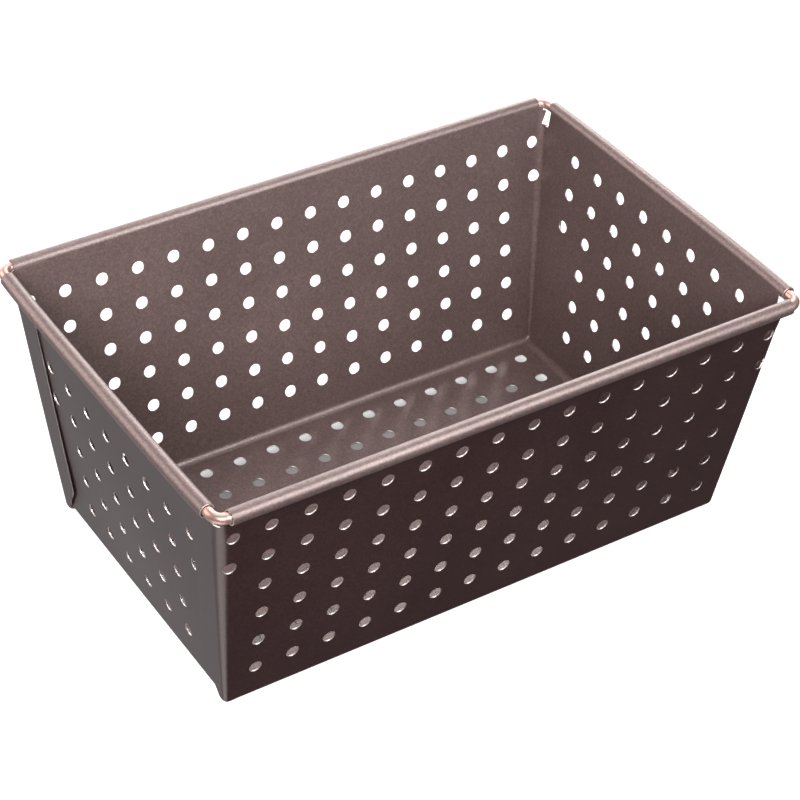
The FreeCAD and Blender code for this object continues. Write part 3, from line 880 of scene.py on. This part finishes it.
def put_sheet(node, sheet, move):
    """Makes a panel of coated sheet in the place of its CAD node."""
    piece = make_object(node + "_visual", *sheet.solid(), [inside, shaded_outside_coat, cut], move)
    place_piece(piece, node)


# Each wall is made standing at the back, and each corner at the back right. Then it is turned about
# Z by so many degrees, and the last two corners are mirrored first.
WALLS = (("back", "long", 0), ("front", "long", 180), ("right_end", "end", -90), ("left_end", "end", 90))
CORNERS = (
    ("back_right", 0, False),
    ("front_left", 180, False),
    ("back_left", 0, True),
    ("front_right", 180, True),
)

put_sheet("base_panel", base_solid(), None)
for label, side, turn in WALLS:
    wall = long_wall_solid() if side == "long" else end_wall_solid(END_BULGE[label], BARE_ROWS[label])
    put_sheet(label + "_wall", wall, turned(turn))
    put_sheet(label + "_rim_roll", roll_solid(side), turned(turn))
for label, turn, mirror in CORNERS:
    put_sheet(label + "_corner_lap", corner_solid(), turned(turn, mirror))
wire = make_object("rim_wire_visual", *wire_solid(), [copper])
place_piece(wire, "rim_wire")


# --- floor, light and camera -------------------------------------------------------------------

# The floor, in metres, and the patch of painted shade under the mould, in millimetres: half its size where
# the painted shade begins to fade, and where it ends.
FLOOR_RADIUS, FLOOR_Z, FLOOR_SIDES = 8.0, -0.0002, 64
PAINTED_SHADE_X, PAINTED_SHADE_Y = (74.0, 84.0), (38.0, 50.0)


def make_floor():
    """A wide pale disc that glows as bright as the studio, but for painted shade: its glow fades out on the
    patch under the mould.
    """
    mesh = bpy.data.meshes.new("floor")
    turns = [2 * math.pi * k / FLOOR_SIDES for k in range(FLOOR_SIDES)]
    ring = [(FLOOR_RADIUS * math.cos(turn), FLOOR_RADIUS * math.sin(turn), FLOOR_Z) for turn in turns]
    mesh.from_pydata(ring, [], [tuple(range(FLOOR_SIDES))])
    floor = bpy.data.objects.new("floor", mesh)
    bpy.context.scene.collection.objects.link(floor)
    material, tree, shader = new_material("pale_floor")
    where = tree.nodes.new("ShaderNodeSeparateXYZ")
    tree.links.new(millimetres(tree), where.inputs[0])
    clear_of = []
    for axis, (near, full) in (("X", PAINTED_SHADE_X), ("Y", PAINTED_SHADE_Y)):
        size = tree.nodes.new("ShaderNodeMath")
        size.operation = "ABSOLUTE"
        tree.links.new(where.outputs[axis], size.inputs[0])
        edge = tree.nodes.new("ShaderNodeMapRange")
        edge.inputs["From Min"].default_value = near
        edge.inputs["From Max"].default_value = full
        tree.links.new(size.outputs[0], edge.inputs["Value"])
        clear_of.append(edge.outputs["Result"])
    # The floor glows only clear of the mould; under it the glow is dropped, which paints the shade under the
    # mould.
    outside_mould = tree.nodes.new("ShaderNodeMath")
    outside_mould.operation = "MAXIMUM"
    for value, socket in zip(clear_of, outside_mould.inputs):
        tree.links.new(value, socket)
    tree.links.new(outside_mould.outputs[0], shader.inputs["Emission Strength"])
    shader.inputs["Emission Color"].default_value = (1, 1, 1, 1)
    shader.inputs["Base Color"].default_value = (0.40, 0.39, 0.38, 1)
    shader.inputs["Roughness"].default_value = 0.9
    mesh.materials.append(material)
    return floor


def make_area(name, place, target, size, power, colour=(1, 1, 1)):
    """A rectangular softbox at a place, turned to face its target."""
    light = bpy.data.lights.new(name, "AREA")
    light.shape = "RECTANGLE"
    light.size, light.size_y = size
    light.energy = power
    light.color = colour
    lamp = bpy.data.objects.new(name, light)
    lamp.location = place
    lamp.rotation_mode = "QUATERNION"
    lamp.rotation_quaternion = (Vector(target) - Vector(place)).to_track_quat("-Z", "Y")
    bpy.context.scene.collection.objects.link(lamp)
    return lamp


AZIMUTH, ELEVATION, ROLL = math.radians(-33.930), math.radians(38.010), math.radians(2.456)
LENS, SENSOR_WIDTH = 110.386, 36.0
CAMERA_RIGHT, CAMERA_UP, CAMERA_BACK = 0.002784, 0.032532, 0.76164
CLIP = (0.01, 100.0)


def make_camera():
    """The camera's axes from its direction round the object, its height angle and its roll, and its
    place along those axes from the middle of the base, in metres."""
    level = math.cos(ELEVATION)
    back = Vector((math.sin(AZIMUTH) * level, -math.cos(AZIMUTH) * level, math.sin(ELEVATION)))
    right = Vector((math.cos(AZIMUTH), math.sin(AZIMUTH), 0))
    up = back.cross(right)
    right, up = math.cos(ROLL) * right + math.sin(ROLL) * up, math.cos(ROLL) * up - math.sin(ROLL) * right
    data = bpy.data.cameras.new("camera")
    data.sensor_fit = "HORIZONTAL"
    data.sensor_width = SENSOR_WIDTH
    data.lens = LENS
    data.clip_start, data.clip_end = CLIP
    camera = bpy.data.objects.new("camera", data)
    place = right * CAMERA_RIGHT + up * CAMERA_UP + back * CAMERA_BACK + Vector((0, 0, SHEET * MM))
    camera.matrix_world = Matrix((
        (right.x, up.x, back.x, place.x),
        (right.y, up.y, back.y, place.y),
        (right.z, up.z, back.z, place.z),
        (0, 0, 0, 1)))
    bpy.context.scene.collection.objects.link(camera)
    bpy.context.scene.camera = camera


DIM = (0.10, 0.095, 0.10)
# Each pale surface of the studio: its direction, the cosines between which it fades in, its colour.
PALE_SURFACES = (
    ((-0.45, 0.60, -0.65), 0.55, 0.90, (0.48, 0.475, 0.475)),
    ((-0.52, -0.30, -0.79), 0.84, 0.94, (2.1, 2.2, 2.15)),
    ((0.50, 0.80, -0.05), 0.75, 0.93, (5.0, 4.95, 4.85)),
)


def make_world():
    """A dim studio with pale surfaces low on the left, at the front left corner and at the back."""
    world = bpy.data.worlds.new("studio")
    world.use_nodes = True
    tree = world.node_tree
    where = tree.nodes.new("ShaderNodeTexCoord")
    total = DIM
    for direction, near, full, colour in PALE_SURFACES:
        dot = tree.nodes.new("ShaderNodeVectorMath")
        dot.operation = "DOT_PRODUCT"
        dot.inputs[1].default_value = Vector(direction).normalized()
        tree.links.new(where.outputs["Generated"], dot.inputs[0])
        lobe = tree.nodes.new("ShaderNodeMapRange")
        lobe.interpolation_type = "SMOOTHSTEP"
        lobe.inputs["From Min"].default_value = near
        lobe.inputs["From Max"].default_value = full
        tree.links.new(dot.outputs["Value"], lobe.inputs["Value"])
        total = mix(tree, lobe.outputs["Result"], total, colour)
    tree.links.new(total, tree.nodes["Background"].inputs["Color"])
    bpy.context.scene.world = world


floor = make_floor()
floor.visible_diffuse = False
floor.visible_glossy = False

# Lights, in metres and watts. The strips show only in what is glossy.
MIDDLE = (0, 0, 0.04)
STRIPS = (
    ("front_strip", (0.17, -0.48, 0.43), (-0.08, -0.062, 0.084), (0.32, 0.46), 6.6, (0.93, 1.0, 0.99)),
    ("back_right_strip", (0.404, 0.468, 0.49), (0.0, -0.05, 0.084), (0.07, 0.20), 1.3, (1.0, 0.99, 0.96)),
    ("left_strip", (-0.62, 0.68, 0.40), (-0.095, 0.0, 0.084), (0.80, 0.70), 7.5, (1.0, 0.92, 0.88)),
)
make_area("overhead", (0.28, 0.38, 0.98), MIDDLE, (0.8, 0.8), 6.0)
make_area("front_left_softbox", (-0.60, -0.85, 0.75), MIDDLE, (0.6, 0.6), 16.5)
for name, place, target, size, power, colour in STRIPS:
    strip = make_area(name, place, target, size, power, colour)
    strip.visible_diffuse = False
make_world()
bpy.context.scene.view_settings.view_transform = "Standard"
make_camera()
